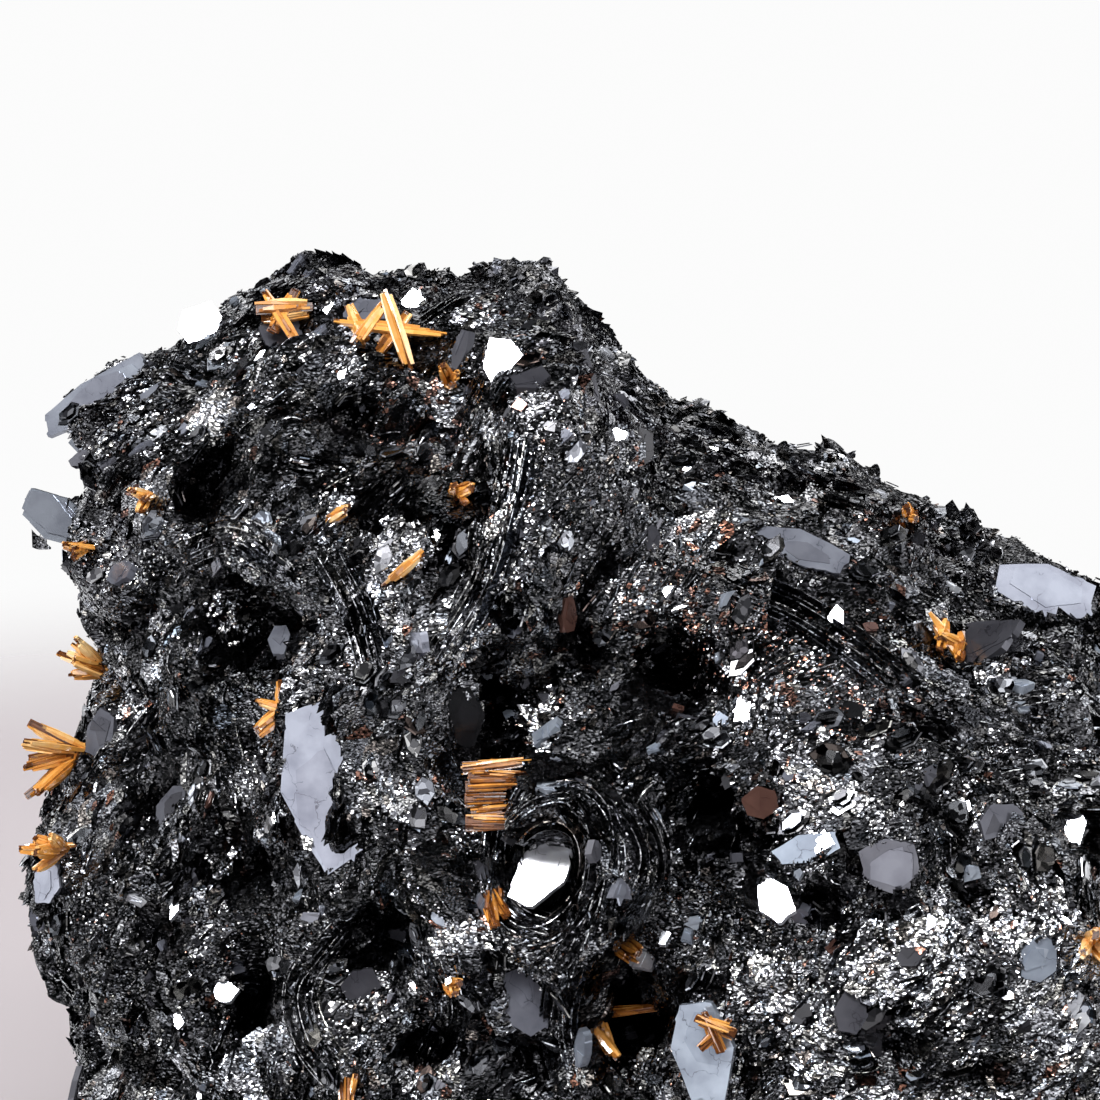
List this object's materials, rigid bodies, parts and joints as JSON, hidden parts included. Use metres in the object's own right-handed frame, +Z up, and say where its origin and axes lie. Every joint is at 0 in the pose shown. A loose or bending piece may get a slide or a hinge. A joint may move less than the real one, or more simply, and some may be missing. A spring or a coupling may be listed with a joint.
{
  "type": "rutile on hematite specimen",
  "caption": "Craggy lump of crumbly, glittering black hematite with flat tabular crystals and sprays of golden rutile needles, broken flat underneath so that it stands.",
  "frame": {"origin": "on the flat broken base, under the middle of the specimen", "axes": "+Z up, +X along the specimen's length, -Y towards the side with the most rutile"},
  "size_m": [0.1011, 0.0782, 0.0724],
  "materials": {
    "hematite": "satin",
    "rutile": "satin"
  },
  "bodies": {
    "root": {"hematite_matrix": "hematite", "rutile_crest_spray": "rutile", "rutile_crest_needles": "rutile", "rutile_shoulder_bars": "rutile", "rutile_hollow_stub": "rutile", "rutile_glint": "rutile", "rutile_lone_needle": "rutile", "rutile_left_tuft": "rutile", "rutile_left_wedge": "rutile", "rutile_left_fringe": "rutile", "rutile_left_brush": "rutile", "rutile_left_low_tuft": "rutile", "rutile_plate_fan": "rutile", "rutile_cleft_bundle": "rutile", "rutile_cleft_tail": "rutile", "rutile_pit_bundle": "rutile", "rutile_pit_needle": "rutile", "rutile_low_tuft": "rutile", "rutile_foot_bundle": "rutile", "rutile_prism_bars": "rutile", "rutile_right_tuft": "rutile", "rutile_strap": "rutile", "rutile_ridge_knot": "rutile", "rutile_back_mat": "rutile", "rutile_back_spray": "rutile", "rutile_back_crest": "rutile", "rutile_back_low_fan": "rutile", "rutile_end_spray": "rutile", "rutile_left_end_mat": "rutile", "rutile_right_shoulder": "rutile"}
  },
  "joints": []
}
